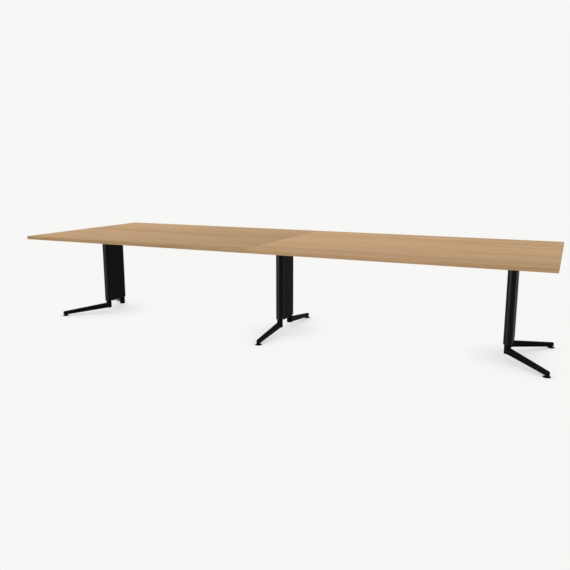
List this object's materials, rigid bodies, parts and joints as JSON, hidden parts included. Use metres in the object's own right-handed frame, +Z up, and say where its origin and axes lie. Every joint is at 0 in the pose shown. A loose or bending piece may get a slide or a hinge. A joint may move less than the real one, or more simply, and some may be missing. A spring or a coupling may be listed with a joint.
{
  "type": "conference table",
  "caption": "Long rectangular conference table: butted oak-veneered tops on flattened oval column pedestals with slim cast feet and screw levelling glides.",
  "frame": {"origin": "on the floor, under the centre of the tops", "axes": "+X along the table, +Y towards its rear side, +Z up"},
  "size_m": [4, 1.4, 0.74],
  "materials": {
    "oak_veneer": "matt lacquered oak veneer, grain along the table",
    "oak_edge": "matt lacquered oak edging",
    "black_coat": "black powder coat, fine satin texture",
    "zinc_steel": "bright zinc plate",
    "glide_plastic": "black moulded plastic, matt"
  },
  "bodies": {
    "frame": {"top_left_board": "oak_veneer", "top_left_edge_band": "oak_edge", "rail_left_front": "black_coat", "rail_left_rear": "black_coat", "top_right_board": "oak_veneer", "top_right_edge_band": "oak_edge", "rail_right_front": "black_coat", "rail_right_rear": "black_coat", "left_front_tube": "black_coat", "left_front_tube_plug": "zinc_steel", "left_front_foot": "black_coat", "left_front_foot_bolt": "zinc_steel", "left_rear_tube": "black_coat", "left_rear_tube_plug": "zinc_steel", "left_rear_foot": "black_coat", "left_rear_foot_bolt": "zinc_steel", "left_cover_left": "black_coat", "left_cover_right": "black_coat", "left_lower_spreader": "black_coat", "left_upper_spreader": "black_coat", "left_head_channel": "black_coat", "middle_front_tube": "black_coat", "middle_front_tube_plug": "zinc_steel", "middle_front_foot": "black_coat", "middle_front_foot_bolt": "zinc_steel", "middle_rear_tube": "black_coat", "middle_rear_tube_plug": "zinc_steel", "middle_rear_foot": "black_coat", "middle_rear_foot_bolt": "zinc_steel", "middle_cover_left": "black_coat", "middle_cover_right": "black_coat", "middle_lower_spreader": "black_coat", "middle_upper_spreader": "black_coat", "middle_head_channel": "black_coat", "right_front_tube": "black_coat", "right_front_tube_plug": "zinc_steel", "right_front_foot": "black_coat", "right_front_foot_bolt": "zinc_steel", "right_rear_tube": "black_coat", "right_rear_tube_plug": "zinc_steel", "right_rear_foot": "black_coat", "right_rear_foot_bolt": "zinc_steel", "right_cover_left": "black_coat", "right_cover_right": "black_coat", "right_lower_spreader": "black_coat", "right_upper_spreader": "black_coat", "right_head_channel": "black_coat"},
    "left_front_pad": {"left_front_glide_pad": "glide_plastic"},
    "left_front_stem": {"left_front_glide_stem": "zinc_steel"},
    "left_rear_pad": {"left_rear_glide_pad": "glide_plastic"},
    "left_rear_stem": {"left_rear_glide_stem": "zinc_steel"},
    "middle_front_pad": {"middle_front_glide_pad": "glide_plastic"},
    "middle_front_stem": {"middle_front_glide_stem": "zinc_steel"},
    "middle_rear_pad": {"middle_rear_glide_pad": "glide_plastic"},
    "middle_rear_stem": {"middle_rear_glide_stem": "zinc_steel"},
    "right_front_pad": {"right_front_glide_pad": "glide_plastic"},
    "right_front_stem": {"right_front_glide_stem": "zinc_steel"},
    "right_rear_pad": {"right_rear_glide_pad": "glide_plastic"},
    "right_rear_stem": {"right_rear_glide_stem": "zinc_steel"}
  },
  "joints": [
    {"name": "left_front_glide_travel", "type": "slide", "parent": "frame", "child": "left_front_pad", "axis": [0, 0, -1], "range_m": [0, 0.012]},
    {"name": "left_front_stem_turn", "type": "hinge", "parent": "left_front_pad", "child": "left_front_stem", "pos_m": [-1.97446, -0.35746, 0.02], "axis": [0, 0, -1], "range_deg": [0, 2880]},
    {"name": "left_rear_glide_travel", "type": "slide", "parent": "frame", "child": "left_rear_pad", "axis": [0, 0, -1], "range_m": [0, 0.012]},
    {"name": "left_rear_stem_turn", "type": "hinge", "parent": "left_rear_pad", "child": "left_rear_stem", "pos_m": [-1.97446, 0.35746, 0.02], "axis": [0, 0, -1], "range_deg": [0, 2880]},
    {"name": "middle_front_glide_travel", "type": "slide", "parent": "frame", "child": "middle_front_pad", "axis": [0, 0, -1], "range_m": [0, 0.012]},
    {"name": "middle_front_stem_turn", "type": "hinge", "parent": "middle_front_pad", "child": "middle_front_stem", "pos_m": [0, -0.467, 0.02], "axis": [0, 0, -1], "range_deg": [0, 2880]},
    {"name": "middle_rear_glide_travel", "type": "slide", "parent": "frame", "child": "middle_rear_pad", "axis": [0, 0, -1], "range_m": [0, 0.012]},
    {"name": "middle_rear_stem_turn", "type": "hinge", "parent": "middle_rear_pad", "child": "middle_rear_stem", "pos_m": [0, 0.467, 0.02], "axis": [0, 0, -1], "range_deg": [0, 2880]},
    {"name": "right_front_glide_travel", "type": "slide", "parent": "frame", "child": "right_front_pad", "axis": [0, 0, -1], "range_m": [0, 0.012]},
    {"name": "right_front_stem_turn", "type": "hinge", "parent": "right_front_pad", "child": "right_front_stem", "pos_m": [1.97446, -0.35746, 0.02], "axis": [0, 0, -1], "range_deg": [0, 2880]},
    {"name": "right_rear_glide_travel", "type": "slide", "parent": "frame", "child": "right_rear_pad", "axis": [0, 0, -1], "range_m": [0, 0.012]},
    {"name": "right_rear_stem_turn", "type": "hinge", "parent": "right_rear_pad", "child": "right_rear_stem", "pos_m": [1.97446, 0.35746, 0.02], "axis": [0, 0, -1], "range_deg": [0, 2880]}
  ],
  "couplings": [
    {"joint": "left_front_stem_turn", "follows": "left_front_glide_travel", "rad_per_m": 4188.7},
    {"joint": "left_rear_stem_turn", "follows": "left_rear_glide_travel", "rad_per_m": 4188.7},
    {"joint": "middle_front_stem_turn", "follows": "middle_front_glide_travel", "rad_per_m": 4188.7},
    {"joint": "middle_rear_stem_turn", "follows": "middle_rear_glide_travel", "rad_per_m": 4188.7},
    {"joint": "right_front_stem_turn", "follows": "right_front_glide_travel", "rad_per_m": 4188.7},
    {"joint": "right_rear_stem_turn", "follows": "right_rear_glide_travel", "rad_per_m": 4188.7}
  ]
}
